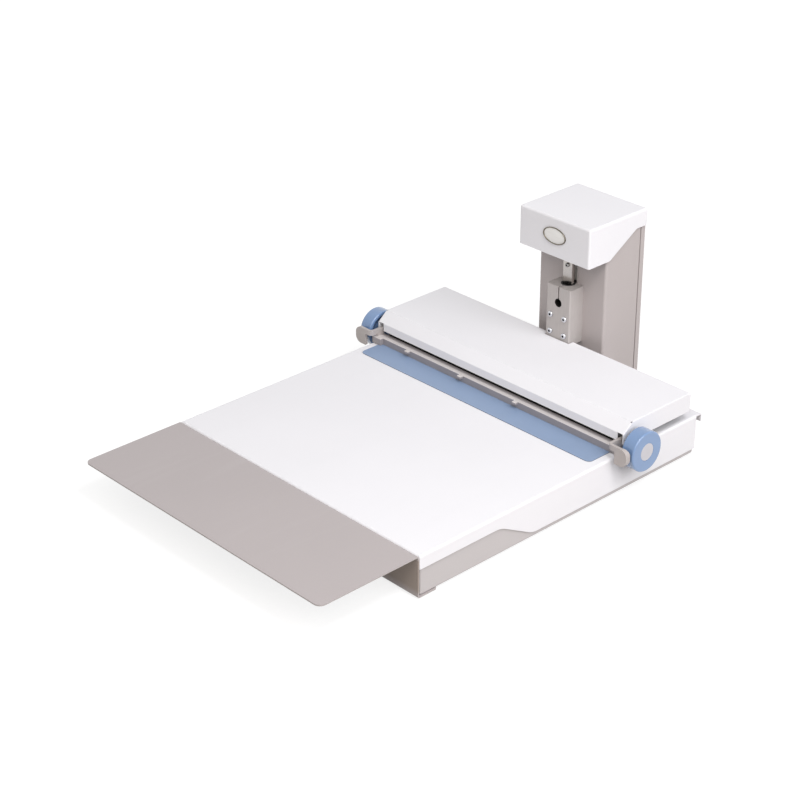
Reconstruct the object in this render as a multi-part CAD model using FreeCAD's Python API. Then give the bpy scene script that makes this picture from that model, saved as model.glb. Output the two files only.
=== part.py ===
import FreeCAD, Part
import math
import os

V = FreeCAD.Vector

# Driving dimensions, in millimetres. Y runs from the table's front edge to the rear, Z up from the floor.

# Base, table cover and front shelf
table_width = 380.0
table_depth = 419.0
table_height = 50.3
thin_sheet = 1.5
bend_inside = 1.0
nest_gap = 0.3
past = 1.0
near = 0.1
tray_rim = 9.0
foot_height = 3.0
foot_radius = 9.0
foot_edge = 1.0
foot_side_inset = 40.0
foot_end_inset = 45.0
skirt_front_height = 15.5
skirt_rear_clear = 6.5
skirt_curve_start = 113.0
skirt_curve_length = 47.0
skirt_curve_radius = 28.0
rear_hook_reach = 9.0
rear_hook_drop = 10.0
shelf_reach = 128.0
shelf_side_inset = 1.0
shelf_corner_radius = 8.0
shelf_flange = 26.0
shelf_flange_chamfer = 3.0
shelf_screw_side = 120.0
shelf_screw_head = 1.2

# Hood
hood_setback = 15.0
hood_depth = 109.0
hood_throat = 13.6
hood_lip = 9.5
chamfer_rise = 11.0
chamfer_run = 13.2
hood_side_gap = 11.7
hood_edge = 1.0
hood_overhang = 1.5
corner_relief = 1.3
lever_slot = 7.5

# Side frames inside the hood
frame_sheet = 3.0
frame_flange = 15.0
frame_rim_gap = 1.2
frame_front_gap = 4.0
frame_rear_gap = 9.0
slot_gap = 0.5

# Feed roller and knobs
shaft_radius = 4.0
roller_radius = 6.0
roller_table_gap = 0.4
roller_behind_lip = 13.5
roller_end_gap = 5.0
running_gap = 0.05
bush_wall = 1.0
bush_flange = 1.0
knob_radius = 23.2
knob_width = 16.7
knob_table_gap = 6.8
knob_edge = 1.8
knob_cap_radius = 10.0
knob_cap_depth = 3.0
knob_cap_edge = 0.6
knob_web = 5.0
knob_rim = 4.0
knob_hub_radius = 9.0

# Blue strip, hold-down bar and its levers
strip_side_inset = 10.5
strip_before_lip = 39.5
strip_under_lip = 3.0
strip_sheet = 0.8
strip_corner = 6.0
bar_thickness = 10.5
bar_height = 8.0
bar_before_lip = 7.5
bar_end_gap = 3.5
bar_rest_gap = 0.2
bar_side_inset = 0.5
bar_block_length = 14.0
bar_block_step = 4.3
tab_places = (-131.5, -44.5, 42.0)
tab_width = 6.0
tab_reach = 4.5
tab_thickness = 2.6
tab_edge = 1.2
lever_sheet = 3.5
lever_wall_gap = 2.0
lever_strap = 6.0
lever_bar_gap = 2.5
lever_bend_inside = 2.0
lever_front = 18.0
lever_pivot_behind_lip = 50.0
lever_hub = 7.5
paddle_reach = 21.5
paddle_drop = 14.5
paddle_notch = 5.0
paddle_flat = 4.0
paddle_rim = 6.5
paddle_rim_wall = 2.5
pivot_radius = 3.0
pivot_collar = 5.0
pivot_head_radius = 4.5
pivot_head = 1.2
side_play = 0.1

# Column, cap and guide block
column_width = 101.0
column_depth = 63.5
column_sheet = 2.0
column_seam = 8.5
column_seam_gap = 1.5
column_rear_edge = 0.6
column_lap = 24.0
column_top_window = 38.2
cap_height = 237.0
cap_drop = 46.5
cap_overhang = 32.7
cap_side_rise = 26.5
cap_slope_start = 2.0
cap_slope_run = 43.5
cap_corner = 7.0
block_width = 36.0
block_depth = 22.0
block_height = 69.0
block_arm_gap = 3.5
block_edge = 1.5
block_slit = 2.0
relief_radius = 5.0
relief_below_top = 20.0
block_screw_below_top = 37.0
block_screw_rise = 21.0
block_notch_gap = 1.0
screw_radius = 2.0
screw_head_radius = 3.5
screw_head = 2.4
screw_dome = 1.4
socket_share = 0.75
socket_depth = 1.4
screw_wall = 0.5
clamp_screw_radius = 1.5
clamp_screw_head_radius = 2.75
clamp_screw_head = 3.0
clamp_screw_below_top = 8.0

# Press rod, arm, beam and drive
rod_radius = 7.0
rod_spigot_radius = 4.5
guide_wall = 1.0
guide_collar = 0.4
rod_behind_front = 15.9
rod_flat = 4.9
rod_flat_below_cap = 48.0
rod_slot_gap = 0.6
rod_screw_below_cap = 18.0
rod_screw_radius = 1.5
rod_screw_head_radius = 2.6
rod_screw_length = 6.0
rod_top_gap = 4.0
press_stroke = 10.0
press_end_gap = 0.5
pad_height = 4.0
pad_width = 8.0
pad_edge = 1.0
beam_height = 12.0
beam_width = 16.0
beam_bevel = 3.0
beam_end_gap = 15.0
beam_behind_lip = 42.0
arm_width = 20.0
arm_rear_wall = 2.5
gear_module = 1.0
pinion_teeth = 16
pinion_width = 7.0
rack_addendum = 0.85
rack_flat = 0.8
rack_teeth_below = 3
tooth_play = 0.25
tooth_root = 1.25
pressure_angle = 20.0
flank_steps = 3
pinion_above_window = 16.8
motor_radius = 14.0
motor_length = 33.0
motor_edge = 2.4
motor_shaft_radius = 3.0
motor_plate = 3.0
motor_plate_gap = 3.0
motor_plate_corner = 7.0
motor_shaft_grip = 10.0
drive_shelf_depth = 26.0
drive_shelf_flange = 9.0
inlet_width = 30.0
inlet_height = 24.0
inlet_flange = 1.6
inlet_depth = 22.0
inlet_centre_height = 42.0
inlet_socket_wall = 2.5
inlet_bevel = 3.5
bolt_side = 35.0
bolt_low = 15.0
bolt_high = 36.0
nut_radius = 4.0
nut_height = 3.2

# Places worked out from the driving dimensions
half = table_width / 2
z_table_under = table_height - thin_sheet
cover_inside = half - thin_sheet
tray_half = cover_inside - nest_gap
tray_front = thin_sheet + nest_gap
tray_floor = foot_height + thin_sheet
hood_rear = table_depth - hood_setback
hood_front = hood_rear - hood_depth
z_lip = table_height + hood_throat
z_chamfer = z_lip + hood_lip
z_hood = z_chamfer + chamfer_rise
z_hood_under = z_hood - thin_sheet
z_hood_side = table_height + hood_side_gap
hood_half = half + hood_overhang
hood_inside = hood_half - thin_sheet
frame_outer = tray_half - tray_rim - frame_rim_gap
frame_inner = frame_outer - frame_sheet
frame_front = hood_front + frame_front_gap
frame_rear = hood_rear - frame_rear_gap
roller_y = hood_front + roller_behind_lip
roller_z = table_height + roller_table_gap + roller_radius
bush_radius = shaft_radius + running_gap + bush_wall
knob_inner = half + knob_table_gap
knob_outer = knob_inner + knob_width
shaft_end = knob_outer - knob_cap_depth
z_strip = table_height + strip_sheet
bar_front = hood_front - bar_before_lip
bar_rear = bar_front + bar_thickness
z_bar = z_strip + bar_rest_gap
z_bar_top = z_bar + bar_height
lever_outer = hood_inside - lever_wall_gap
lever_inner = lever_outer - lever_sheet
z_strap = z_bar_top + lever_bar_gap
z_strap_top = z_strap + lever_strap
lever_face = hood_front - lever_front
pivot_y = hood_front + lever_pivot_behind_lip
pivot_z = z_strap + lever_hub
column_half = column_width / 2
column_front = table_depth
column_rear = column_front + column_depth
z_cap_under = cap_height - thin_sheet
z_cap_front = cap_height - cap_drop
z_cap_side = z_cap_front + cap_side_rise
z_window = z_cap_under - column_top_window
cap_half = column_half + bend_inside + thin_sheet
cap_front = column_front - cap_overhang
rod_y = column_front - block_depth + rod_behind_front
block_front = column_front - block_depth
guide_radius = rod_radius + running_gap + guide_wall
block_screw_x = guide_radius + screw_wall + screw_radius
pad_bottom = table_height + press_end_gap + press_stroke
beam_bottom = pad_bottom + pad_height
beam_top = beam_bottom + beam_height
block_bottom = beam_top + block_arm_gap
block_top = block_bottom + block_height
block_screw_top = block_top - block_screw_below_top
beam_front = hood_front + beam_behind_lip
beam_half = frame_inner - beam_end_gap
arm_reach = rod_spigot_radius + arm_rear_wall
pitch_radius = gear_module * pinion_teeth / 2
rack_tip = rod_y + rod_radius - rack_flat
pinion_y = rack_tip - rack_addendum * gear_module + pitch_radius
pinion_z = z_window + pinion_above_window
motor_face = rod_radius + motor_plate_gap + motor_plate
shelf_half = half - shelf_side_inset

# The finished part's origin is under the middle of its box
frame_shift = V(0, -(column_rear + inlet_flange - shelf_reach) / 2, 0)


# Shared shape helpers

def place(plane, offset):
    # A function that puts a flat point on a plane across X, Y or Z
    if plane == "yz":
        return lambda a, b: V(offset, a, b)
    if plane == "xz":
        return lambda a, b: V(a, offset, b)
    return lambda a, b: V(a, b, offset)


def rounded_wire(points, plane, offset):
    # A closed outline: each point is (a, b) or (a, b, corner radius)
    at = place(plane, offset)
    corners = []
    for i, point in enumerate(points):
        here = V(point[0], point[1], 0)
        radius = point[2] if len(point) == 3 else 0
        if radius == 0:
            corners.append((here, None, here))
            continue
        before = V(*points[i - 1][:2], 0) - here
        after = V(*points[(i + 1) % len(points)][:2], 0) - here
        before.normalize()
        after.normalize()
        bisector = before + after
        bisector.normalize()
        half_angle = before.getAngle(after) / 2
        reach = radius / math.tan(half_angle)
        middle = here + bisector * (radius / math.sin(half_angle) - radius)
        corners.append((here + before * reach, middle, here + after * reach))
    edges = []
    for i, (start, middle, end) in enumerate(corners):
        if middle is not None:
            arc = Part.Arc(at(start.x, start.y), at(middle.x, middle.y), at(end.x, end.y))
            edges.append(arc.toShape())
        following = corners[(i + 1) % len(corners)][0]
        if end.distanceToPoint(following) > 1e-6:
            line = Part.LineSegment(at(end.x, end.y), at(following.x, following.y))
            edges.append(line.toShape())
    return Part.Wire(edges)


def prism(points, plane, start, end):
    # An outline carried straight along the axis across its plane
    along = {"yz": V(1, 0, 0), "xz": V(0, 1, 0), "xy": V(0, 0, 1)}[plane]
    return Part.Face(rounded_wire(points, plane, start)).extrude(along * (end - start))


def box(x0, x1, y0, y1, z0, z1):
    return Part.makeBox(x1 - x0, y1 - y0, z1 - z0, V(x0, y0, z0))


def rod(axis, a, b, radius, start, end):
    # A cylinder along an axis, with a and b its place on the other two axes in X, Y, Z order
    origin = {"x": V(start, a, b), "y": V(a, start, b), "z": V(a, b, start)}[axis]
    along = {"x": V(1, 0, 0), "y": V(0, 1, 0), "z": V(0, 0, 1)}[axis]
    return Part.makeCylinder(radius, end - start, origin, along)


def folded(path, sheet, inside):
    # The outline of one folded sheet: the path is its left-hand face, and both faces of a bend are rounded
    points = [V(a, b, 0) for a, b in path]
    runs = [(points[i + 1] - points[i]).normalize() for i in range(len(points) - 1)]
    normals = [V(run.y, -run.x, 0) for run in runs]
    face = []
    back = []
    for i, point in enumerate(points):
        if i in (0, len(points) - 1):
            normal = normals[0] if i == 0 else normals[-1]
            face.append((point.x, point.y))
            back.append((point.x + normal.x * sheet, point.y + normal.y * sheet))
            continue
        first, second = normals[i - 1], normals[i]
        mitre = (first + second) * (sheet / (1 + first.dot(second)))
        left_turn = runs[i - 1].x * runs[i].y - runs[i - 1].y * runs[i].x > 0
        face_radius = inside if left_turn else inside + sheet
        back_radius = inside + sheet if left_turn else inside
        face.append((point.x, point.y, face_radius))
        back.append((point.x + mitre.x, point.y + mitre.y, back_radius))
    return face + back[::-1]


def fillet_where(shape, radius, chosen):
    # Round the edges whose own box passes a test
    edges = [edge for edge in shape.Edges if chosen(edge.BoundBox)]
    return shape.makeFillet(radius, edges)


def turned(profile, axis_y, axis_z):
    # A solid of revolution about an axis along X: profile points are (x, radius)
    wire = rounded_wire([(x, axis_z + r) if len(rest) == 0 else (x, axis_z + r, rest[0])
                         for x, r, *rest in profile], "xz", axis_y)
    return Part.Face(wire).revolve(V(0, axis_y, axis_z), V(1, 0, 0), 360)


def mirrored(shape):
    return shape.mirror(V(0, 0, 0), V(1, 0, 0))


def hexagon(x, z, radius):
    corners = [math.radians(60 * k) for k in range(6)]
    return [(x + radius * math.cos(t), z + radius * math.sin(t)) for t in corners]


def button_screw(spot, face, length, radius, head_radius):
    # A round-headed socket screw along +Y, seated with its head in front of the face
    x, z = spot
    top = face - screw_head
    shank = rod("y", x, z, radius, face, face + length)
    dome = rod("y", x, z, head_radius, top, face)
    dome = fillet_where(dome, screw_dome, lambda b: b.YMax < top + near)
    socket = prism(hexagon(x, z, radius * socket_share), "xz", top, top + socket_depth)
    return dome.fuse(shank).removeSplitter().cut(socket)


def bolt_places():
    return [(x, z) for x in (-bolt_side, bolt_side) for z in (bolt_low, bolt_high)]


# Base

def base_tray():
    # A folded pan with an inward rim that carries the table cover
    outer = box(-tray_half, tray_half, tray_front, table_depth, foot_height, z_table_under)
    outer = fillet_where(outer, bend_inside + thin_sheet, lambda b: True)
    room = box(-tray_half + thin_sheet, tray_half - thin_sheet, tray_front + thin_sheet,
               table_depth - thin_sheet, tray_floor, z_table_under - thin_sheet)
    room = fillet_where(room, bend_inside, lambda b: True)
    mouth = box(-tray_half + tray_rim, tray_half - tray_rim, tray_front + tray_rim,
                table_depth - tray_rim, z_table_under - tray_rim, z_table_under + thin_sheet)
    tray = outer.cut(room).cut(mouth)
    for x, z in bolt_places():
        tray = tray.cut(rod("y", x, z, screw_radius, table_depth - tray_rim, table_depth + thin_sheet))
    for x in (-shelf_screw_side, 0, shelf_screw_side):
        tray = tray.cut(rod("z", x, shelf_flange / 2, screw_radius, 0, tray_floor + thin_sheet))
    return tray


def table_cover():
    # The white cover: top, front flange, S-edged side skirts and a hook turned down behind
    outer = box(-half, half, 0, table_depth, 0, table_height)
    outer = fillet_where(outer, bend_inside + thin_sheet,
                         lambda b: b.ZMin > table_height - near and b.YMin < table_depth - near)
    room = box(-cover_inside, cover_inside, thin_sheet, table_depth + thin_sheet, -thin_sheet, z_table_under)
    room = fillet_where(room, bend_inside,
                        lambda b: b.ZMin > z_table_under - near and b.YMin < table_depth)
    skirt_low = foot_height + skirt_rear_clear
    skirt_high = table_height - skirt_front_height
    curve_end = skirt_curve_start + skirt_curve_length
    below = [(-thin_sheet, -thin_sheet), (table_depth + thin_sheet, -thin_sheet),
             (table_depth + thin_sheet, skirt_low), (curve_end, skirt_low, skirt_curve_radius),
             (skirt_curve_start, skirt_high, skirt_curve_radius), (-thin_sheet, skirt_high)]
    cover = outer.cut(room).cut(prism(below, "yz", -half - thin_sheet, half + thin_sheet))
    hook_end = table_depth + rear_hook_reach
    hook = folded([(table_depth, table_height), (hook_end, table_height),
                   (hook_end, table_height - rear_hook_drop)], thin_sheet, bend_inside)
    hook = prism(hook, "yz", column_half + block_notch_gap, half)
    cover = cover.fuse(hook).fuse(mirrored(hook)).removeSplitter()
    slot = box(frame_inner - slot_gap, frame_outer + slot_gap, frame_front - slot_gap,
               frame_rear + slot_gap, z_table_under - thin_sheet, table_height + thin_sheet)
    return cover.cut(slot).cut(mirrored(slot))


def front_shelf():
    # One sheet folded to a Z: shelf, web in front of the tray and flange under it
    flange_under = foot_height - thin_sheet
    path = [(-shelf_reach, table_height), (0, table_height), (0, foot_height), (shelf_flange, foot_height)]
    sheet = prism(folded(path, thin_sheet, bend_inside), "yz", -shelf_half, shelf_half)
    plan = [(-shelf_half, -shelf_reach, shelf_corner_radius),
            (shelf_half, -shelf_reach, shelf_corner_radius),
            (shelf_half, shelf_flange - shelf_flange_chamfer),
            (shelf_half - shelf_flange_chamfer, shelf_flange),
            (-shelf_half + shelf_flange_chamfer, shelf_flange),
            (-shelf_half, shelf_flange - shelf_flange_chamfer)]
    shelf = sheet.common(prism(plan, "xy", 0, table_height))
    for x in (-shelf_screw_side, 0, shelf_screw_side):
        shelf = shelf.cut(rod("z", x, shelf_flange / 2, screw_radius, 0, flange_under + 2 * thin_sheet))
    return shelf


def shelf_screws():
    # Low-headed screws from under the flange into the tray floor
    under = foot_height - thin_sheet
    screws = []
    for x in (-shelf_screw_side, 0, shelf_screw_side):
        shank = rod("z", x, shelf_flange / 2, screw_radius, under, tray_floor)
        head = rod("z", x, shelf_flange / 2, screw_head_radius, under - shelf_screw_head, under)
        screws.append(head.fuse(shank))
    return Part.makeCompound([screw.removeSplitter() for screw in screws])


def rubber_feet():
    # Low round feet with a turned-in lower edge
    feet = []
    for x in (-half + foot_side_inset, half - foot_side_inset):
        for y in (foot_end_inset, table_depth - foot_end_inset):
            edge = Part.makeCone(foot_radius - foot_edge, foot_radius, foot_edge, V(x, y, 0))
            foot = rod("z", x, y, foot_radius, foot_edge, foot_height)
            feet.append(edge.fuse(foot).removeSplitter())
    return Part.makeCompound(feet)


# Hood and the frames that carry it

def hood():
    # A folded shell with a chamfered front, a short lip, lever slots and a notch for the guide block
    low = table_height
    side = [(hood_rear, low), (hood_rear, z_hood), (hood_front + chamfer_run, z_hood),
            (hood_front, z_chamfer), (hood_front, low)]
    outer = prism(side, "yz", -hood_half, hood_half)
    outer = fillet_where(outer, hood_edge, lambda b: b.ZMin > z_chamfer - near)
    steep = math.atan2(chamfer_rise, chamfer_run)
    shoulder = thin_sheet * math.tan((math.pi / 2 - steep) / 2)
    brow = thin_sheet * math.tan(steep / 2)
    rear = hood_rear - thin_sheet
    front = hood_front + thin_sheet
    inner = [(rear, low - thin_sheet), (rear, z_hood_under, bend_inside),
             (hood_front + chamfer_run + brow, z_hood_under), (front, z_chamfer - shoulder),
             (front, low - thin_sheet)]
    shell = outer.cut(prism(inner, "yz", -hood_inside, hood_inside))
    shell = shell.cut(box(-hood_half, hood_half, hood_front - past, hood_rear + past,
                          low - past, z_hood_side))
    slot_inner = hood_inside - lever_slot
    shell = shell.cut(box(-slot_inner, slot_inner, hood_front - past, front, low, z_lip))
    lever_way = box(slot_inner, hood_inside, hood_front - past, front + thin_sheet, low, z_chamfer)
    shell = shell.cut(lever_way).cut(mirrored(lever_way))
    relief = rod("z", hood_half - corner_relief, hood_front + chamfer_run, corner_relief,
                 z_chamfer, z_hood + past)
    shell = shell.cut(relief).cut(mirrored(relief))
    notch = block_width / 2 + block_notch_gap
    return shell.cut(box(-notch, notch, block_front - block_notch_gap, hood_rear + past,
                         low, z_hood + past))


def side_frame():
    # The right-hand frame: a sheet folded inwards at foot and top, bored for the roller bush and lever pivot
    flange_end = frame_outer - frame_flange
    path = [(flange_end, z_hood_under), (frame_outer, z_hood_under), (frame_outer, tray_floor),
            (flange_end, tray_floor)]
    frame = prism(folded(path, frame_sheet, bend_inside), "xz", frame_front, frame_rear)
    frame = frame.cut(rod("x", roller_y, roller_z, bush_radius, frame_inner - past, frame_outer + past))
    frame = frame.cut(rod("x", pivot_y, pivot_z, pivot_radius, frame_inner - past, frame_outer + past))
    corner = [(frame_front - past, z_hood_under - hood_lip), (frame_front - past, z_hood_under + past),
              (hood_front + chamfer_run + frame_sheet, z_hood_under + past),
              (frame_front + frame_sheet, z_hood_under - hood_lip)]
    return frame.cut(prism(corner, "yz", flange_end - past, frame_outer + past))


def roller_bush():
    # A flanged plain bush in the right-hand frame
    bore = shaft_radius + running_gap
    lip = frame_inner - bush_flange
    profile = [(lip, bore), (lip, bush_radius + bush_flange), (frame_inner, bush_radius + bush_flange),
               (frame_inner, bush_radius), (frame_outer, bush_radius), (frame_outer, bore)]
    return turned(profile, roller_y, roller_z)


def pivot_pin():
    # A collared pin riveted in the right-hand frame, which carries the lever
    collar_end = lever_inner - side_play
    head_start = lever_outer + side_play
    head_end = head_start + pivot_head
    profile = [(frame_inner, 0), (frame_inner, pivot_radius), (frame_outer, pivot_radius),
               (frame_outer, pivot_collar), (collar_end, pivot_collar), (collar_end, pivot_radius),
               (head_start, pivot_radius), (head_start, pivot_head_radius), (head_end, pivot_head_radius),
               (head_end, 0)]
    return turned(profile, pivot_y, pivot_z)


# Feed roller

def roller_shaft():
    return rod("x", roller_y, roller_z, shaft_radius, -shaft_end, shaft_end)


def roller_sleeve():
    # The rubber covering, with bevelled ends
    end = frame_inner - bush_flange - roller_end_gap
    bevel = (roller_radius - shaft_radius) / 2
    profile = [(-end, shaft_radius), (-end, roller_radius - bevel), (-end + bevel, roller_radius),
               (end - bevel, roller_radius), (end, roller_radius - bevel), (end, shaft_radius)]
    return turned(profile, roller_y, roller_z)


def knob():
    # The right-hand knob: round rim, web and hub, with a seat for the centre cap
    groove = knob_outer - knob_web - knob_cap_depth
    rim = knob_radius - knob_rim
    profile = [(knob_inner, shaft_radius), (knob_inner, knob_hub_radius), (groove, knob_hub_radius),
               (groove, rim), (knob_inner, rim), (knob_inner, knob_radius, knob_edge),
               (knob_outer, knob_radius, knob_edge), (knob_outer, knob_cap_radius),
               (knob_outer - knob_cap_depth, knob_cap_radius), (knob_outer - knob_cap_depth, shaft_radius)]
    return turned(profile, roller_y, roller_z)


def knob_cap():
    # A pressed-in disc that hides the shaft end
    profile = [(shaft_end, 0), (shaft_end, knob_cap_radius), (knob_outer, knob_cap_radius, knob_cap_edge),
               (knob_outer, 0)]
    return turned(profile, roller_y, roller_z)


# Strip, hold-down bar and levers

def guide_strip():
    strip_half = half - strip_side_inset
    front = hood_front - strip_before_lip
    rear = hood_front + strip_under_lip
    plan = [(-strip_half, front, strip_corner), (strip_half, front, strip_corner),
            (strip_half, rear), (-strip_half, rear)]
    return prism(plan, "xy", table_height, z_strip)


def hold_down_bar():
    # A flat bar cut back behind both ends, with a block at its left end and finger tabs on its front
    bar_half = half - bar_side_inset
    inner = bar_half - bar_block_length
    block_front_y = bar_front - bar_block_step
    end_rear = hood_front - bar_end_gap
    plan = [(-bar_half, block_front_y), (-inner, block_front_y), (-inner, bar_front),
            (bar_half, bar_front), (bar_half, end_rear),
            (lever_outer, end_rear), (lever_outer, bar_rear), (-lever_outer, bar_rear),
            (-lever_outer, end_rear), (-bar_half, end_rear)]
    bar = prism(plan, "xy", z_bar, z_bar_top)
    for x in tab_places:
        tab = box(x - tab_width / 2, x + tab_width / 2, bar_front - tab_reach, bar_front,
                  z_bar_top - tab_thickness, z_bar_top)
        bar = bar.fuse(fillet_where(tab, tab_edge, lambda b: b.YMax < bar_front - tab_reach + near
                                    and b.ZMin > z_bar_top - near))
    return bar.removeSplitter()


def lever():
    # The right-hand lever: a strap on edge, folded outwards to a paddle with a rim turned back at its end
    paddle_end = half + paddle_reach
    z_paddle = z_strap_top - lever_strap - paddle_drop
    paddle_radius = (z_strap_top - z_paddle - paddle_flat) / 2
    path = [(paddle_end, lever_face), (lever_inner, lever_face), (lever_inner, pivot_y + lever_hub)]
    sheet = prism(folded(path, lever_sheet, lever_bend_inside), "xy", z_paddle, pivot_z + lever_hub)
    front = lever_face - past
    strap = [(front, z_strap), (bar_front, z_strap), (bar_front, z_bar_top), (bar_rear, z_bar_top),
             (bar_rear, z_strap), (pivot_y, z_strap), (pivot_y, z_strap_top), (front, z_strap_top)]
    notch_x = half + paddle_notch
    keep = prism(strap, "yz", lever_inner - past, notch_x)
    keep = keep.fuse(rod("x", pivot_y, pivot_z, lever_hub, lever_inner - past, lever_outer + past))
    paddle = [(notch_x, z_paddle), (paddle_end, z_paddle, paddle_radius),
              (paddle_end, z_strap_top, paddle_radius), (notch_x, z_strap_top)]
    keep = keep.fuse(prism(paddle, "xz", front, lever_face + lever_sheet + past))
    rim_start = paddle_end - paddle_radius
    rim_rear = lever_face + paddle_rim
    sheet_rear = lever_face + lever_sheet
    wedge = [(rim_start, lever_face), (paddle_end, lever_face), (paddle_end, rim_rear),
             (rim_start, sheet_rear)]
    rim = prism(paddle, "xz", lever_face, rim_rear).common(prism(wedge, "xy", z_paddle, z_strap_top))
    low, high = z_paddle + paddle_rim_wall, z_strap_top - paddle_rim_wall
    end = paddle_end - paddle_rim_wall
    round_end = paddle_radius - paddle_rim_wall
    hollow = [(rim_start - past, low), (end, low, round_end), (end, high, round_end),
              (rim_start - past, high)]
    rim = rim.cut(prism(hollow, "xz", sheet_rear, rim_rear + past))
    eye = rod("x", pivot_y, pivot_z, pivot_radius + running_gap, lever_inner - past, lever_outer + past)
    return sheet.common(keep).fuse(rim).removeSplitter().cut(eye)


# Column and cap

def column_channel():
    # The front and sides of the column, one folded channel, slotted for the rod and open under the cap
    seam = column_rear - column_seam
    path = [(column_half, seam), (column_half, column_front),
            (-column_half, column_front), (-column_half, seam)]
    channel = prism(folded(path, column_sheet, bend_inside), "xy", foot_height, z_cap_under)
    inside = column_half - column_sheet
    open_rear = column_front + column_sheet + bend_inside
    channel = channel.cut(box(-inside, inside, column_front - past, open_rear,
                              z_window, z_cap_under + past))
    slot_half = arm_reach + rod_slot_gap
    slot_low = beam_bottom - press_stroke - rod_slot_gap
    channel = channel.cut(box(-slot_half, slot_half, column_front - past, open_rear,
                              slot_low, z_window + past))
    for x, z in block_screw_places() + bolt_places():
        hole = rod("y", x, z, screw_radius, column_front - past, column_front + column_sheet + past)
        channel = channel.cut(hole)
    return channel


def column_rear_cover():
    # The back of the column, a folded cover level with the channel, with a strip behind each seam
    seam = column_rear - column_seam
    edge = seam + column_seam_gap
    top = z_cap_side - nest_gap
    lap = column_half - column_sheet
    inner = column_rear - column_sheet
    plan = [(-column_half, edge), (-lap, edge), (-lap, inner), (lap, inner), (lap, edge),
            (column_half, edge), (column_half, column_rear, column_rear_edge),
            (-column_half, column_rear, column_rear_edge)]
    cover = prism(plan, "xy", foot_height, top)
    strip = box(lap - thin_sheet, lap, seam - column_lap, inner, foot_height, top)
    cover = cover.fuse(strip).fuse(mirrored(strip)).removeSplitter()
    w, h = inlet_width / 2 - inlet_socket_wall, inlet_height / 2 - inlet_socket_wall
    return cover.cut(box(-w, w, column_rear - column_sheet - past, column_rear + past,
                         inlet_centre_height - h, inlet_centre_height + h))


def cap():
    # The white box over the column, overhanging in front, with sides cut up to the rear
    low = z_cap_front - past
    outer = box(-cap_half, cap_half, cap_front, column_rear, low, cap_height)
    outer = fillet_where(outer, bend_inside + thin_sheet, lambda b: b.ZMax > cap_height - near)
    room = box(-cap_half + thin_sheet, cap_half - thin_sheet, cap_front + thin_sheet,
               column_rear - thin_sheet, low - past, z_cap_under)
    room = fillet_where(room, bend_inside, lambda b: b.ZMax > z_cap_under - near)
    slope = column_front + cap_slope_start
    below = [(cap_front - past, low - past), (cap_front - past, z_cap_front),
             (slope, z_cap_front, cap_corner),
             (slope + cap_slope_run, z_cap_side, cap_corner), (column_rear + past, z_cap_side),
             (column_rear + past, low - past)]
    return outer.cut(room).cut(prism(below, "yz", -cap_half - past, cap_half + past))


# Guide block and its bush

def block_screw_places():
    low = block_screw_top - block_screw_rise
    return [(x, z) for x in (-block_screw_x, block_screw_x) for z in (low, block_screw_top)]


def guide_block():
    # A split block that holds the rod's bush, with a saw cut ending in a relief hole
    w = block_width / 2
    block = box(-w, w, block_front, column_front, block_bottom, block_top)
    block = fillet_where(block, block_edge, lambda b: b.ZLength > near and b.YMax < column_front)
    block = block.cut(rod("z", 0, rod_y, guide_radius, block_bottom - past, block_top + past))
    relief_z = block_top - relief_below_top
    block = block.cut(rod("y", 0, relief_z, relief_radius, block_front - past, rod_y))
    slit = box(-block_slit / 2, block_slit / 2, block_front - past, rod_y, relief_z, block_top + past)
    block = block.cut(slit)
    for x, z in block_screw_places():
        block = block.cut(rod("y", x, z, screw_radius, block_front - past, column_front + past))
    y, z = clamp_screw_place()
    block = block.cut(rod("x", y, z, clamp_screw_radius, -w - past, w - block_edge))
    return block.cut(rod("x", y, z, clamp_screw_head_radius, -w - past, -w + clamp_screw_head))


def clamp_screw_place():
    return (block_front + rod_y - guide_radius) / 2, block_top - clamp_screw_below_top


def clamp_screw():
    # A small socket screw that draws the saw cut together, headed on the left side
    y, z = clamp_screw_place()
    seat = -block_width / 2 + clamp_screw_head
    head = rod("x", y, z, clamp_screw_head_radius, -block_width / 2, seat)
    shank = rod("x", y, z, clamp_screw_radius, seat, block_width / 2 - block_edge)
    return head.fuse(shank).removeSplitter()


def block_screws():
    length = block_depth + column_sheet
    return Part.makeCompound([button_screw(spot, block_front, length, screw_radius, screw_head_radius)
                              for spot in block_screw_places()])


def guide_bush():
    # A plain bush the length of the block, with a collar on top
    sleeve = rod("z", 0, rod_y, guide_radius, block_bottom, block_top)
    collar = rod("z", 0, rod_y, guide_radius + guide_collar, block_top, block_top + guide_collar)
    bore = rod("z", 0, rod_y, rod_radius + running_gap, block_bottom - past, block_top + guide_collar + past)
    return sleeve.fuse(collar).removeSplitter().cut(bore)


# Press rod, arm and beam

def rod_screw_height():
    return z_cap_front - rod_screw_below_cap


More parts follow.
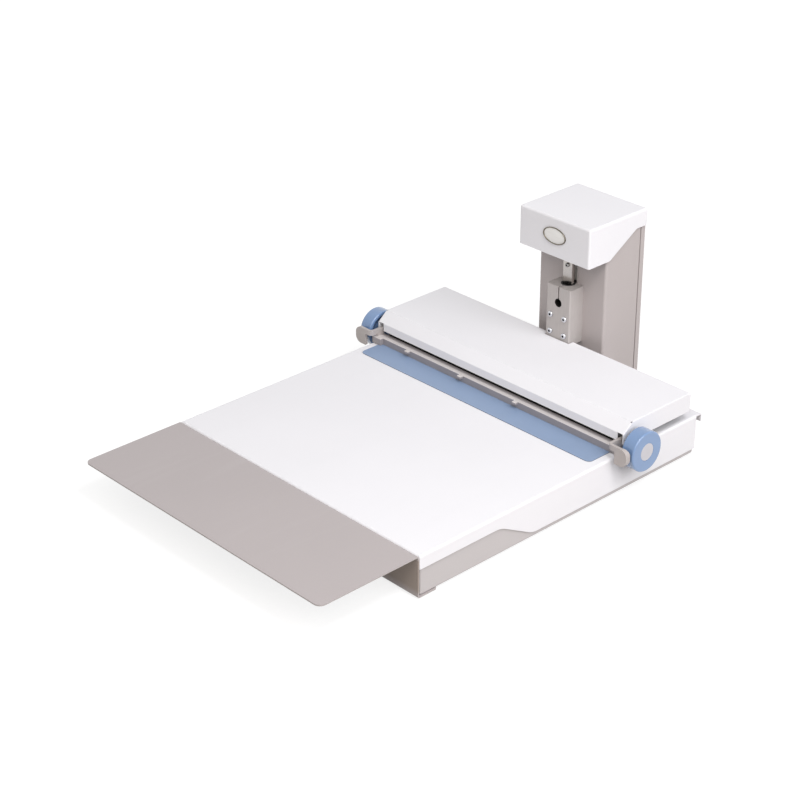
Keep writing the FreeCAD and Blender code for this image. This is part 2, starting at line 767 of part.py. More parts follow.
def press_rod():
    # A round rod on a spigot, with a milled flat in front and rack teeth behind its upper end
    top = z_cap_under - rod_top_gap
    bar = rod("z", 0, rod_y, rod_radius, beam_top, top)
    bar = bar.fuse(rod("z", 0, rod_y, rod_spigot_radius, beam_bottom, beam_top)).removeSplitter()
    flat_low = z_cap_front - rod_flat_below_cap
    bar = bar.cut(box(-rod_radius, rod_radius, rod_y - rod_radius - past, rod_y - rod_radius + rod_flat,
                      flat_low, z_cap_front + press_stroke))
    pitch = math.pi * gear_module
    low = pinion_z - rack_teeth_below * pitch
    high = pinion_z + math.floor((top - pinion_z) / pitch) * pitch
    bar = bar.cut(box(-rod_radius, rod_radius, rack_tip, rod_y + rod_radius + past, low, top + past))
    slope = math.tan(math.radians(pressure_angle))
    wide = pitch / 4 + tooth_play / 2 + rack_addendum * gear_module * slope
    depth = (rack_addendum + tooth_root) * gear_module
    narrow = wide - depth * slope
    z = low + pitch
    while z < high:
        gap = [(rack_tip + past, z - wide - past * slope), (rack_tip + past, z + wide + past * slope),
               (rack_tip - depth, z + narrow), (rack_tip - depth, z - narrow)]
        bar = bar.cut(prism(gap, "yz", -rod_radius, rod_radius))
        z += pitch
    seat = rod_y - rod_radius + rod_flat
    return bar.cut(rod("y", 0, rod_screw_height(), rod_screw_radius, seat, seat + rod_screw_length))


def rod_screw():
    seat = rod_y - rod_radius + rod_flat
    spot = (0, rod_screw_height())
    return button_screw(spot, seat, rod_screw_length, rod_screw_radius, rod_screw_head_radius)


def press_arm():
    # The arm from the rod's foot forward to the beam, with a round end about the rod's spigot
    arm = box(-arm_width / 2, arm_width / 2, beam_front + beam_width, rod_y, beam_bottom, beam_top)
    arm = arm.fuse(rod("z", 0, rod_y, arm_reach, beam_bottom, beam_top)).removeSplitter()
    return arm.cut(rod("z", 0, rod_y, rod_spigot_radius, beam_bottom - past, beam_top + past))


def press_beam():
    # A bevelled bar across the hood
    y0, y1 = beam_front, beam_front + beam_width
    section = [(y0, beam_bottom), (y1, beam_bottom), (y1, beam_top), (y0 + beam_bevel, beam_top),
               (y0, beam_top - beam_bevel)]
    return prism(section, "yz", -beam_half, beam_half)


def press_pad():
    middle = beam_front + beam_width / 2
    pad = box(-beam_half, beam_half, middle - pad_width / 2, middle + pad_width / 2, pad_bottom, beam_bottom)
    return fillet_where(pad, pad_edge, lambda b: b.ZMax < pad_bottom + near and b.XLength > near)


# Drive under the cap

def involute(angle):
    return math.tan(angle) - angle


def drive_pinion():
    # A spur pinion with involute flanks, in mesh with the rack at rest
    angle = math.radians(pressure_angle)
    base = pitch_radius * math.cos(angle)
    tip = pitch_radius + gear_module
    root = pitch_radius - tooth_root * gear_module
    half_tooth = math.pi / (2 * pinion_teeth) + involute(angle)
    flank = [(root, half_tooth)]
    for step in range(flank_steps + 1):
        radius = base + (tip - base) * step / flank_steps
        flank.append((radius, half_tooth - involute(math.acos(min(1, base / radius)))))
    points = []
    for tooth in range(pinion_teeth):
        middle = math.pi + 2 * math.pi * tooth / pinion_teeth
        turn = [(radius, middle - spread) for radius, spread in flank]
        turn += [(radius, middle + spread) for radius, spread in flank[::-1]]
        points += [(pinion_y + r * math.cos(t), pinion_z + r * math.sin(t)) for r, t in turn]
    gear = prism(points, "yz", -pinion_width / 2, pinion_width / 2)
    return gear.cut(rod("x", pinion_y, pinion_z, motor_shaft_radius, -pinion_width, pinion_width))


def motor_shaft():
    return rod("x", pinion_y, pinion_z, motor_shaft_radius, -pinion_width / 2, motor_face + motor_shaft_grip)


def gearmotor():
    # A round motor with a bevelled rear end
    end = motor_face + motor_length
    profile = [(motor_face, 0), (motor_face, motor_radius), (end - motor_edge, motor_radius),
               (end, motor_radius - motor_edge), (end, 0)]
    body = turned(profile, pinion_y, pinion_z)
    return body.cut(rod("x", pinion_y, pinion_z, motor_shaft_radius + running_gap, motor_face - past,
                        motor_face + motor_shaft_grip + past))


def motor_bracket():
    # A plate on the drive shelf that carries the motor beside the rod
    y0 = pinion_y - motor_radius
    y1 = pinion_y + motor_radius
    sheet = [(y0, z_window), (y1, z_window), (y1, pinion_z + motor_radius, motor_plate_corner),
             (y0, pinion_z + motor_radius, motor_plate_corner)]
    plate = prism(sheet, "yz", motor_face - motor_plate, motor_face)
    return plate.cut(rod("x", pinion_y, pinion_z, motor_shaft_radius + nest_gap,
                         motor_face - motor_plate - past, motor_face + past))


def drive_shelf():
    # A folded shelf across the column under the motor
    inside = column_half - column_sheet
    front = column_front + column_sheet + bend_inside
    drop = z_window - drive_shelf_flange
    path = [(-inside, drop), (-inside, z_window), (inside, z_window), (inside, drop)]
    return prism(folded(path, column_sheet, bend_inside), "xz", front, front + drive_shelf_depth)


def power_inlet():
    # A recessed appliance inlet in the rear cover
    w, h = inlet_width / 2, inlet_height / 2
    z = inlet_centre_height
    corner = inlet_socket_wall
    flange = [(-w, z - h, corner), (w, z - h, corner), (w, z + h, corner), (-w, z + h, corner)]
    body = prism(flange, "xz", column_rear, column_rear + inlet_flange)
    w, h = w - inlet_socket_wall, h - inlet_socket_wall
    body = body.fuse(box(-w, w, column_rear - inlet_depth, column_rear, z - h, z + h)).removeSplitter()
    w, h = w - inlet_socket_wall, h - inlet_socket_wall
    mouth = [(-w, z - h), (w, z - h), (w, z + h - inlet_bevel), (w - inlet_bevel, z + h),
             (-w + inlet_bevel, z + h), (-w, z + h - inlet_bevel)]
    return body.cut(prism(mouth, "xz", column_rear - inlet_depth + inlet_socket_wall,
                          column_rear + inlet_flange + past))


def column_bolts():
    # Plain-headed bolts through the tray's rear wall and the column's front
    face = table_depth - thin_sheet
    end = column_front + column_sheet + nut_height
    bolts = []
    for x, z in bolt_places():
        head = rod("y", x, z, screw_head_radius, face - screw_head, face)
        bolts.append(head.fuse(rod("y", x, z, screw_radius, face, end)).removeSplitter())
    return Part.makeCompound(bolts)


def column_nuts():
    nuts = []
    seat = column_front + column_sheet
    for x, z in bolt_places():
        nut = prism(hexagon(x, z, nut_radius), "xz", seat, seat + nut_height)
        nuts.append(nut.cut(rod("y", x, z, screw_radius, seat - past, seat + nut_height + past)))
    return Part.makeCompound(nuts)


# Every piece under its own name; paired pieces are made once and mirrored
pieces = {
    "base_tray": base_tray(),
    "table_cover": table_cover(),
    "front_shelf": front_shelf(),
    "shelf_screws": shelf_screws(),
    "rubber_feet": rubber_feet(),
    "hood": hood(),
    "guide_strip": guide_strip(),
    "column_channel": column_channel(),
    "column_rear_cover": column_rear_cover(),
    "column_bolts": column_bolts(),
    "column_nuts": column_nuts(),
    "cap": cap(),
    "guide_block": guide_block(),
    "guide_bush": guide_bush(),
    "block_screws": block_screws(),
    "clamp_screw": clamp_screw(),
    "drive_shelf": drive_shelf(),
    "motor_bracket": motor_bracket(),
    "gearmotor": gearmotor(),
    "power_inlet": power_inlet(),
    "roller_shaft": roller_shaft(),
    "roller_sleeve": roller_sleeve(),
    "hold_down_bar": hold_down_bar(),
    "press_rod": press_rod(),
    "rod_screw": rod_screw(),
    "press_arm": press_arm(),
    "press_beam": press_beam(),
    "press_pad": press_pad(),
    "drive_pinion": drive_pinion(),
    "motor_shaft": motor_shaft(),
}
paired = {
    "side_frame": side_frame(),
    "roller_bush": roller_bush(),
    "pivot_pin": pivot_pin(),
    "knob": knob(),
    "knob_cap": knob_cap(),
    "lever": lever(),
}
for name, shape in paired.items():
    pieces["right_" + name] = shape
    pieces["left_" + name] = mirrored(shape)

os.makedirs("parts", exist_ok=True)
for name, shape in pieces.items():
    shape.translate(frame_shift)
    shape.exportStep("parts/" + name + ".step")
print(len(pieces), "nodes,", sum(len(shape.Solids) for shape in pieces.values()), "solids")
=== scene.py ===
import math

import bpy
import numpy as np
from mathutils import Matrix, Vector


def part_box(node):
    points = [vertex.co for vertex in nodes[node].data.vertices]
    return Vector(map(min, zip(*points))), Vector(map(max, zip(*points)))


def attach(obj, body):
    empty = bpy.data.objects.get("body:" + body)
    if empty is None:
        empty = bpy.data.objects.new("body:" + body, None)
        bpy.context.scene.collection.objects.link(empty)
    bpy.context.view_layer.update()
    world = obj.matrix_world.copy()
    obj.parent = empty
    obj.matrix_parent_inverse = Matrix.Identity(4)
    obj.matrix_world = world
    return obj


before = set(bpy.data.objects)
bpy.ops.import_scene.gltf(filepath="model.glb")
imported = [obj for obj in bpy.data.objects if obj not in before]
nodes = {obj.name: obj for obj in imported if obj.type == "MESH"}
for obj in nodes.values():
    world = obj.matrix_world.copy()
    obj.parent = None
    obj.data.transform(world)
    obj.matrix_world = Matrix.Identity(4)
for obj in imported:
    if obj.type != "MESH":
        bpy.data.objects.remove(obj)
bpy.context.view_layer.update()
print("frame loaded:", len(nodes), "nodes")


class Sock:
    # one value in a material; + - and * with numbers or other values add Math nodes

    def __init__(self, tree, out=None):
        self.tree, self.out = tree, out

    # any node: its type, its settings, the values or links of its sockets, and which output is used
    def node(self, kind, settings=None, links=None, out=0):
        made = self.tree.nodes.new(kind)
        for key, value in (settings or {}).items():
            setattr(made, key, value)
        for key, value in (links or {}).items():
            if isinstance(value, Sock):
                self.tree.links.new(value.out, made.inputs[key])
            else:
                made.inputs[key].default_value = value
        return Sock(self.tree, made.outputs[out] if made.outputs else None)

    def maths(self, operation, first, second=0.0):
        return self.node("ShaderNodeMath", {"operation": operation}, {0: first, 1: second})

    def __add__(self, other):
        return self.maths("ADD", self, other)

    def __radd__(self, other):
        return self.maths("ADD", other, self)

    def __sub__(self, other):
        return self.maths("SUBTRACT", self, other)

    def __rsub__(self, other):
        return self.maths("SUBTRACT", other, self)

    def __mul__(self, other):
        return self.maths("MULTIPLY", self, other)

    def __rmul__(self, other):
        return self.maths("MULTIPLY", other, self)

    # 0 below low and 1 above high, eased between them
    def rise(self, low, high):
        return self.node("ShaderNodeMapRange", {"interpolation_type": "SMOOTHSTEP"},
                         {"Value": self, "From Min": low, "From Max": high})

    # this value as the share of the second colour
    def blend(self, first, second):
        ends = [c if isinstance(c, Sock) else (*c, 1.0) for c in (first, second)]
        return self.node("ShaderNodeMix", {"data_type": "RGBA"}, {0: self, 6: ends[0], 7: ends[1]}, 2)

    # noise about 0.5 at this place; stretch squeezes it along X, Y and Z
    def noise(self, scale, detail=2.0, stretch=None):
        where = self
        if stretch:
            where = self.node("ShaderNodeMapping", links={"Vector": self, "Scale": stretch})
        return self.node("ShaderNodeTexNoise", links={"Vector": where, "Scale": scale, "Detail": detail})

    # one of this place's coordinates: 0, 1 or 2 for X, Y or Z
    def along(self, axis):
        return self.node("ShaderNodeSeparateXYZ", links={"Vector": self}, out=axis)

    def vectorMaths(self, operation, second=None, out=0):
        links = {0: self} if second is None else {0: self, 1: second}
        return self.node("ShaderNodeVectorMath", {"operation": operation}, links, out)

    # distance of this place from an axis along Y through (x, z); fold mirrors the place about a middle first
    def fromAxis(self, x, z, fold=None):
        where = self.vectorMaths("SUBTRACT", fold).vectorMaths("ABSOLUTE") if fold else self
        return where.vectorMaths("MULTIPLY", (1, 0, 1)).vectorMaths("DISTANCE", (x, 0, z), "Value")

    def bump(self, depth):
        return self.node("ShaderNodeBump", links={"Height": self, "Distance": depth})


def emptyTree(owner):
    owner.use_nodes = True
    owner.node_tree.nodes.clear()
    return Sock(owner.node_tree)


def startMaterial(name):
    made = bpy.data.materials.new(name)
    return made, emptyTree(made).node("ShaderNodeTexCoord", out="Object")


def endMaterial(where, links):
    surface = where.node("ShaderNodeBsdfPrincipled", links=links)
    where.node("ShaderNodeOutputMaterial", links={"Surface": surface})


def dim(color, share):
    return tuple(c * share for c in color)


# powder coat: a slow drift of tone, a fine speckle, and the skin's small waves in the bump;
# paintedShade is a band of height painted darker and browner: painted shade, as under a shelf's top
def powderCoat(name, look, paintedShade=None):
    made, where = startMaterial(name)
    drift = where.noise(look["driftScale"], 3.0)
    speck = where.noise(look["speckScale"], 1.0)
    share = (drift - 0.5) * look["drift"] + (speck - 0.5) * look["speck"] + 0.5
    color = share.blend(dim(look["color"], 1 - look["spread"]), dim(look["color"], 1 + look["spread"]))
    rub = where.noise(look["rubScale"], 3.0, look["rubAlong"]).rise(*look["rubRange"])
    color = (rub * look["rub"]).blend(color, look["rubColor"])
    # the band between the two heights is painted darker and browner: painted shade
    if paintedShade:
        height = where.along(2)
        band = height.rise(*paintedShade["from"]) * (1 - height.rise(*paintedShade["to"]))
        color = band.blend(color, paintedShade["color"])
    skin = where.noise(look["skinScale"], 2.0)
    endMaterial(where, {
        "Base Color": color,
        "Roughness": (drift - 0.5) * look["driftGloss"] - rub * look["rubGloss"] + look["rough"],
        "Specular IOR Level": look["specular"],
        "Normal": skin.bump(look["skinDepth"]),
    })
    return made


# the white is matt: with more gloss the table washes out when it is seen low from the left
whiteLook = {
    "color": (0.83, 0.823, 0.85), "spread": 0.02, "rough": 0.72, "specular": 0.12,
    "drift": 1.4, "driftScale": 7.0, "driftGloss": 0.12, "speck": 0.5, "speckScale": 900.0,
    "skinScale": 520.0, "skinDepth": 0.00004,
    "rub": 0.10, "rubScale": 60.0, "rubAlong": (1.0, 0.06, 1.0), "rubRange": (0.52, 0.78),
    "rubColor": (0.77, 0.77, 0.79), "rubGloss": 0.08,
}
coverPaint = powderCoat("coverWhite", whiteLook)
hoodPaint = powderCoat("hoodWhite", {**whiteLook, "rub": 0.05, "rubAlong": (0.08, 1.0, 1.0)})
capPaint = powderCoat("capWhite", {**whiteLook, "rub": 0.04})

greyLook = {
    **whiteLook, "color": (0.52, 0.49, 0.49), "spread": 0.03, "rough": 0.5, "specular": 0.45,
    "speck": 1.0, "speckScale": 1100.0, "rub": 0.06, "rubAlong": (1.0, 1.0, 0.1), "rubColor": (0.52, 0.50, 0.50),
}
basePaint = powderCoat("baseGrey", greyLook)
columnPaint = powderCoat("columnGrey", {**greyLook, "color": (0.47, 0.425, 0.418)})
# the web and underside band of the shelf is painted darker and browner: painted shade under the shelf's top
shelfPaint = powderCoat("shelfGrey", {
    **greyLook, "color": (0.44, 0.40, 0.40), "rub": 0.16, "rubAlong": (1.0, 0.08, 1.0),
    "rubColor": (0.50, 0.47, 0.47),
}, {"from": (0.004, 0.012), "to": (0.044, 0.047), "color": (0.325, 0.272, 0.238)})
print("painted sheet finishes made")

softEdge = 0.0002  # over which a painted edge in a metal finish fades
# near black painted into holes and sockets: painted shade
holeShade = (0.012, 0.011, 0.010)


# satin metal: long grain along one axis in tone, gloss and bump, and a faint cloud of handling;
# shadedHole is an axis along Y about which the metal is painted near black: painted shade inside a hole or socket;
# litStrip is a strip painted bright along the top's front edge: a painted highlight where light falls on the top
def satinMetal(name, look, shadedHole=None, litStrip=None):
    made, where = startMaterial(name)
    grain = where.noise(look["grainScale"], 2.0, look["grainAlong"])
    cloud = where.noise(look["cloudScale"], 3.0)
    share = (grain - 0.5) * look["grain"] + (cloud - 0.5) * look["cloud"] + 0.5
    color = share.blend(dim(look["color"], look["darkest"]), dim(look["color"], look["lightest"]))
    if litStrip:
        onTop = where.along(2).rise(litStrip["above"], litStrip["above"] + softEdge)
        bright = onTop * (1 - where.along(1).rise(*litStrip["before"]))
        color = bright.blend(color, litStrip["color"])
    if shadedHole:
        away = where.fromAxis(*shadedHole["axis"], shadedHole.get("fold"))
        inside = 1 - away.rise(shadedHole["radius"], shadedHole["radius"] + softEdge)
        color = inside.blend(color, holeShade)
    endMaterial(where, {
        "Base Color": color,
        "Metallic": look["metallic"],
        "Roughness": (grain - 0.5) * look["grainGloss"] + (cloud - 0.5) * look["cloudGloss"] + look["rough"],
        "Normal": grain.bump(look["grainDepth"]),
    })
    return made


metalLook = {
    "color": (0.60, 0.585, 0.57), "darkest": 0.9, "lightest": 1.08, "metallic": 1.0, "rough": 0.36,
    "grain": 1.0, "grainScale": 1400.0, "grainAlong": (0.04, 1.0, 1.0), "grainDepth": 0.00002, "grainGloss": 0.16,
    "cloud": 0.6, "cloudScale": 40.0, "cloudGloss": 0.1,
}
leverPaint = satinMetal("leverPaint", {
    **metalLook, "color": (0.47, 0.43, 0.415), "rough": 0.42, "metallic": 0.2, "grain": 0.5,
})
# the bar's top front strip is painted lighter than the rest of the bar: a painted highlight for the light on its top
barLitStrip = {
    "above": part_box("hold_down_bar")[1].z - 0.0005, "before": (0.1135, 0.1165), "color": (0.66, 0.62, 0.61),
}
barPaint = satinMetal("barPaint", {
    **metalLook, "color": (0.34, 0.31, 0.315), "rough": 0.40, "metallic": 0.1, "grain": 0.7,
}, litStrip=barLitStrip)
# the relief hole at the block's front is painted dark inside: painted shade
blockMetal = satinMetal("blockAluminium", {
    **metalLook, "color": (0.50, 0.465, 0.45), "rough": 0.52, "grainAlong": (1.0, 1.0, 0.05), "metallic": 0.2,
}, {"axis": (0.0, 0.1293), "radius": 0.0050})
rodChrome = satinMetal("rodChrome", {
    **metalLook, "color": (0.56, 0.53, 0.50), "rough": 0.20, "grainAlong": (1.0, 1.0, 4.0), "grain": 0.3,
    "grainDepth": 0.000004,
})
screwLook = {**metalLook, "color": (0.68, 0.69, 0.72), "rough": 0.26}
screwSteel = satinMetal("screwSteel", screwLook)
# the four screws' sockets are one socket folded about the screws' middle, each painted dark as the shade inside it
blockScrewSteel = satinMetal("blockScrewSteel", screwLook, {
    "axis": (0.01055, 0.0105), "fold": (0.0, 0.0, 0.1018), "radius": 0.00135,
})
# the screw's socket is painted dark: painted shade
rodScrewSteel = satinMetal("rodScrewSteel", {**screwLook, "color": (0.36, 0.35, 0.34)}, {
    "axis": (0.0, 0.1725), "radius": 0.0010,
})
# the hidden inner frames, drive shelf, bracket and motor are painted dark: painted shade for the unlit inside seen
# through the hood's lever slots
shadeDarkZincSteel = satinMetal("shadeDarkZincSteel", {
    **metalLook, "color": (0.22, 0.21, 0.20), "rough": 0.48, "cloudScale": 160.0, "grain": 0.5,
})
beamMetal = satinMetal("beamAluminium", {**metalLook, "color": (0.66, 0.66, 0.67), "rough": 0.4})
print("metal finishes made")

edgeShade = {"share": 0.3, "soft": 0.0001}  # how dark the painted shade along an edge is, and over what height it fades


# moulded plastic: fine spark texture in the bump, a cloud of tone, and gloss that wanders with the cloud;
# below shadedEdgeBelow its edge faces are painted darker: painted shade along the edge
def mouldedPlastic(name, look, shadedEdgeBelow=None):
    made, where = startMaterial(name)
    cloud = where.noise(look["cloudScale"], 3.0)
    spark = where.noise(look["sparkScale"], 1.0)
    share = (cloud - 0.5) * look["cloud"] + (spark - 0.5) * look["spark"] + 0.5
    color = share.blend(dim(look["color"], 1 - look["spread"]), dim(look["color"], 1 + look["spread"]))
    if shadedEdgeBelow:
        face = where.along(2).rise(shadedEdgeBelow - edgeShade["soft"], shadedEdgeBelow)
        color = face.blend(dim(look["color"], edgeShade["share"]), color)
    endMaterial(where, {
        "Base Color": color,
        "Roughness": (cloud - 0.5) * look["cloudGloss"] + look["rough"],
        "Coat Weight": look["coat"],
        "Normal": spark.bump(look["sparkDepth"]),
    })
    return made


plasticLook = {
    "color": (0.172, 0.278, 0.485), "spread": 0.05, "rough": 0.24, "coat": 0.8,
    "cloud": 1.2, "cloudScale": 60.0, "cloudGloss": 0.14, "spark": 0.5, "sparkScale": 1600.0, "sparkDepth": 0.00002,
}
knobBlue = mouldedPlastic("knobBlue", plasticLook)
discGrey = mouldedPlastic("discGrey", {**plasticLook, "color": (0.56, 0.55, 0.585), "rough": 0.42, "coat": 0.0})
blackPlastic = mouldedPlastic("blackPlastic", {
    **plasticLook, "color": (0.018, 0.018, 0.019), "spread": 0.2, "rough": 0.45, "coat": 0.0,
})
rubberBlack = mouldedPlastic("rubberBlack", {
    **plasticLook, "color": (0.030, 0.029, 0.028), "spread": 0.25, "rough": 0.78, "coat": 0.0,
    "sparkDepth": 0.00006,
})
# the strip's edge faces are painted darker: painted shade along its front edge
stripBlue = mouldedPlastic("stripBlue", {
    **plasticLook, "color": (0.25, 0.338, 0.50), "spread": 0.035, "rough": 0.40, "coat": 0.0,
}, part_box("guide_strip")[1].z - edgeShade["soft"])
print("plastic finishes made")

finishOf = {
    coverPaint: ["table_cover"],
    hoodPaint: ["hood"],
    capPaint: ["cap"],
    basePaint: ["base_tray"],
    columnPaint: ["column_channel", "column_rear_cover"],
    shelfPaint: ["front_shelf"],
    leverPaint: ["left_lever", "right_lever"],
    barPaint: ["hold_down_bar"],
    blockMetal: ["guide_block"],
    rodChrome: ["press_rod"],
    blockScrewSteel: ["block_screws"],
    rodScrewSteel: ["rod_screw"],
    screwSteel: ["clamp_screw", "column_bolts", "column_nuts", "shelf_screws", "roller_shaft",
                 "left_pivot_pin", "right_pivot_pin", "motor_shaft", "drive_pinion"],
    shadeDarkZincSteel: ["left_side_frame", "right_side_frame", "drive_shelf", "motor_bracket", "gearmotor"],
    beamMetal: ["press_beam", "press_arm"],
    knobBlue: ["left_knob", "right_knob"],
    discGrey: ["left_knob_cap", "right_knob_cap"],
    stripBlue: ["guide_strip"],
    blackPlastic: ["guide_bush", "power_inlet", "left_roller_bush", "right_roller_bush"],
    rubberBlack: ["rubber_feet", "roller_sleeve", "press_pad"],
}
for finish, names in finishOf.items():
    for name in names:
        nodes[name].data.materials.clear()
        nodes[name].data.materials.append(finish)
print("finishes on", sum(map(len, finishOf.values())), "nodes")


def addObject(name, data):
    made = bpy.data.objects.new(name, data)
    bpy.context.scene.collection.objects.link(made)
    return made


# all new pieces are small bright trim on the fixed body
def meshPiece(name, points, faces, finish, smooth=True):
    mesh = bpy.data.meshes.new(name)
    mesh.from_pydata(points.tolist(), [], faces)
    mesh.polygons.foreach_set("use_smooth", np.full(len(mesh.polygons), smooth))
    mesh.materials.append(finish)
    mesh.update()
    made = addObject(name, mesh)
    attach(made, "base")


# quads between the rings of a grid whose columns close on themselves, with one face over each end
def ringFaces(rings, around):
    r, a = np.meshgrid(np.arange(rings - 1), np.arange(around), indexing="ij")
    nextA = (a + 1) % around
    quads = np.stack([r * around + a, r * around + nextA, (r + 1) * around + nextA, (r + 1) * around + a], -1)
    ends = [list(range(around))[::-1], list(range((rings - 1) * around, rings * around))]
    return quads.reshape(-1, 4).tolist() + ends


# an oval turned about an axis along Y: a profile of (share of radius, height off the face) at angle t gives
# x = middle - side * share * halfWide * cos t, y = face + side * height and
# z = middle + share * halfTall * sin t; side is -1 forward and 1 to the rear, and keeps the faces outwards
def ovalPiece(name, look, profile, finish):
    share, height = np.array(profile).T[:, :, None]
    turn = np.linspace(0, 2 * math.pi, look["around"], endpoint=False)[None, :]
    points = np.stack([look["centre"][0] - look["side"] * share * look["halfWide"] * np.cos(turn),
                       look["face"] + look["side"] * height + 0 * turn,
                       look["centre"][1] + share * look["halfTall"] * np.sin(turn)], -1).reshape(-1, 3)
    meshPiece(name, points, ringFaces(len(profile), look["around"]), finish)


# the bare oval plate on the cap: a dark rim about a pale field
badge = {
    "centre": (0.0008, 0.2153), "face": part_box("cap")[0].y, "side": -1, "halfWide": 0.0170, "halfTall": 0.0097,
    "around": 96,
    "rim": [(1.0, 0.0), (1.0, 0.0009), (0.98, 0.0013), (0.94, 0.0013), (0.91, 0.0009), (0.90, 0.0005)],
    "field": [(0.915, 0.0), (0.915, 0.0006), (0.86, 0.0007), (0.60, 0.0010), (0.30, 0.0011), (0.05, 0.0011)],
}
rimFinish = satinMetal("badgeRim", {**metalLook, "color": (0.20, 0.175, 0.14), "rough": 0.3})
fieldFinish = satinMetal("badgeField", {
    **metalLook, "color": (0.80, 0.785, 0.76), "rough": 0.32, "metallic": 0.3,
})
ovalPiece("badgeRim", badge, badge["rim"], rimFinish)
ovalPiece("badgeField", badge, badge["field"], fieldFinish)
print("bare badge made")

# pan-head screws with a round socket, at the corners of the column's rear cover
rearScrew = {
    "face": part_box("column_rear_cover")[1].y, "side": 1, "halfWide": 0.00275, "halfTall": 0.00275, "around": 40,
    "pan": [(1.0, 0.0), (1.0, 0.0005), (0.93, 0.0010), (0.75, 0.0013), (0.5, 0.0014), (0.46, 0.0013),
            (0.44, 0.0004), (0.02, 0.0004)],
    "spots": [(-0.043, 0.014), (0.043, 0.014), (-0.043, 0.206), (0.043, 0.206)],
}
for number, spot in enumerate(rearScrew["spots"]):
    ovalPiece(f"rearScrew{number + 1}", {**rearScrew, "centre": spot}, rearScrew["pan"], screwSteel)
print("rear screws made")


# a closed block between two corners: each point takes x, y and z from the low or the high corner
def blockPiece(name, low, high, finish):
    pick = np.arange(8)[:, None] >> np.arange(3) & 1
    points = np.where(pick == 1, high, low)
    faces = [(0, 2, 3, 1), (4, 5, 7, 6), (0, 1, 5, 4), (2, 6, 7, 3), (0, 4, 6, 2), (1, 3, 7, 5)]
    meshPiece(name, points, faces, finish, smooth=False)


# a bright guard behind the column's slot, between the guide bush and the drive's shelf
guard = {"halfWide": 0.0105, "thick": 0.0008, "gap": 0.0012, "inset": 0.0001}
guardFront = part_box("drive_shelf")[0].y + guard["inset"]
blockPiece("slotGuard", (-guard["halfWide"], guardFront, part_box("guide_bush")[1].z + guard["gap"]),
           (guard["halfWide"], guardFront + guard["thick"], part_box("drive_shelf")[0].z - guard["gap"]), fieldFinish)
print("slot guard made")

# three blades in the inlet, the middle one raised
blade = {
    "halfWide": 0.0010, "halfTall": 0.0020, "depth": (0.2852, 0.2980),
    "spots": [(-0.007, 0.0400), (0.0, 0.0428), (0.007, 0.0400)],
}
for number, (x, z) in enumerate(blade["spots"]):
    blockPiece(f"inletBlade{number + 1}", (x - blade["halfWide"], blade["depth"][0], z - blade["halfTall"]),
               (x + blade["halfWide"], blade["depth"][1], z + blade["halfTall"]), screwSteel)
print("inlet blades made")


# direction from the object towards a place at this azimuth and elevation, in radians
def outward(az, el):
    return Vector((math.sin(az) * math.cos(el), -math.cos(az) * math.cos(el), math.sin(el)))


# the photo's own camera, worked out from the table's straight edges
camera = {
    "azimuth": 47.139, "elevation": 27.886, "roll": -0.312, "eye": (1.3677, -1.29595, 1.0816), "lens": 88.92,
    "sensor": 36.0, "clip": (0.02, 60.0),
}


def addCamera():
    az, el, roll = (math.radians(camera[k]) for k in ("azimuth", "elevation", "roll"))
    back = outward(az, el)
    right = Vector((math.cos(az), math.sin(az), 0))
    up = back.cross(right)
    tiltedRight = right * math.cos(roll) + up * math.sin(roll)
    tiltedUp = up * math.cos(roll) - right * math.sin(roll)
    data = bpy.data.cameras.new("photoCamera")
    data.sensor_width, data.lens = camera["sensor"], camera["lens"]
    data.clip_start, data.clip_end = camera["clip"]
    made = addObject("photoCamera", data)
    turned = Matrix((tiltedRight, tiltedUp, back)).transposed().to_4x4()
    made.matrix_world = Matrix.Translation(camera["eye"]) @ turned
    bpy.context.scene.camera = made


addCamera()

# soft boxes: level is how bright a white card facing the lamp would be
lamps = {
    "keyRight": {"azimuth": 95.0, "elevation": 31.0, "distance": 3.0, "size": 2.0, "level": 0.50,
                 "color": (0.97, 0.975, 1.0)},
    "fillFront": {"azimuth": 38.0, "elevation": 48.0, "distance": 2.0, "size": 1.2, "level": 0.32,
                  "color": (1.0, 0.955, 0.91)},
    "highRight": {"azimuth": 75.0, "elevation": 58.0, "distance": 3.0, "size": 0.5, "level": 0.26,
                  "color": (1.0, 0.99, 1.0)},
}


def addLamp(name, lamp):
    back = outward(math.radians(lamp["azimuth"]), math.radians(lamp["elevation"]))
    data = bpy.data.lights.new(name, "AREA")
    data.size, data.color = lamp["size"], lamp["color"]
    data.energy = lamp["level"] * (math.pi * lamp["distance"]) ** 2
    turned = back.to_track_quat("Z", "Y").to_matrix().to_4x4()
    addObject(name, data).matrix_world = Matrix.Translation(back * lamp["distance"]) @ turned


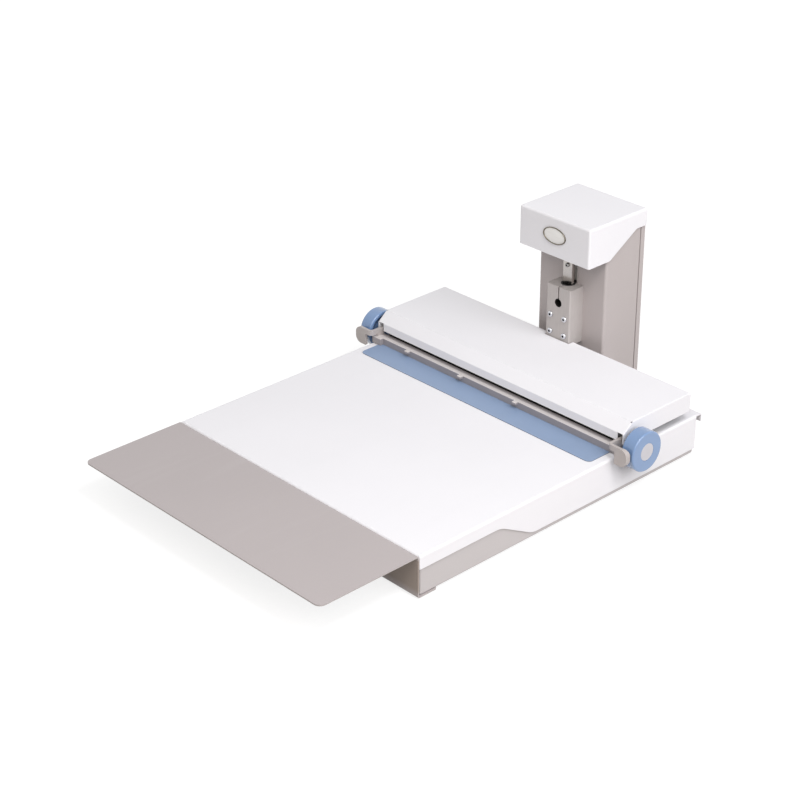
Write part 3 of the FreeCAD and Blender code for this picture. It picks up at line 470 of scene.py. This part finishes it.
for lampName, lamp in lamps.items():
    addLamp(lampName, lamp)

# the floor is one square, a little under the feet; far from the object it glows more, up to white
studio = {
    "world": 0.42, "bounce": (0.45, 0.42, 0.39), "seenFloor": 0.30, "glow": 0.80, "farGlow": 0.16,
    "farRange": (0.6, 2.4), "reach": 20.0, "drop": -0.0004,
}


# 1 for the camera, for mirrors and for clear pieces, and 0 for all other light
def seenDirectly(start):
    path = start.node("ShaderNodeLightPath", out="Is Camera Ray")
    kinds = path.out.node.outputs
    glossy, clear = (Sock(start.tree, kinds[name]) for name in ("Is Glossy Ray", "Is Transmission Ray"))
    return path.maths("MAXIMUM", path, path.maths("MAXIMUM", glossy, clear))


world = bpy.data.worlds.new("studioWorld")
sky = emptyTree(world)
strength = seenDirectly(sky) * (1 - studio["world"]) + studio["world"]
light = sky.node("ShaderNodeBackground", links={"Color": (1, 1, 1, 1), "Strength": strength})
sky.node("ShaderNodeOutputWorld", links={"Surface": light})
bpy.context.scene.world = world

floorMat = bpy.data.materials.new("floorWhite")
ground = emptyTree(floorMat)
seen = seenDirectly(ground)
tone = seen.blend(studio["bounce"], (studio["seenFloor"],) * 3)
matt = ground.node("ShaderNodeBsdfDiffuse", links={"Color": tone})
place = ground.node("ShaderNodeTexCoord", out="Object")
far = place.vectorMaths("LENGTH", out="Value").rise(*studio["farRange"])
shine = seen * (far * studio["farGlow"] + studio["glow"])
glow = ground.node("ShaderNodeEmission", links={"Strength": shine})
both = ground.node("ShaderNodeAddShader", links={0: matt, 1: glow})
ground.node("ShaderNodeOutputMaterial", links={"Surface": both})
corners = np.array([(-1, -1), (1, -1), (1, 1), (-1, 1)]) * studio["reach"]
corners = np.column_stack([corners, np.full(4, studio["drop"])])
floorMesh = bpy.data.meshes.new("floor")
floorMesh.from_pydata(corners.tolist(), [], [(0, 1, 2, 3)])
floorMesh.materials.append(floorMat)
addObject("floor", floorMesh)
bpy.context.scene.view_settings.view_transform = "Standard"
print("camera, lamps and floor placed")
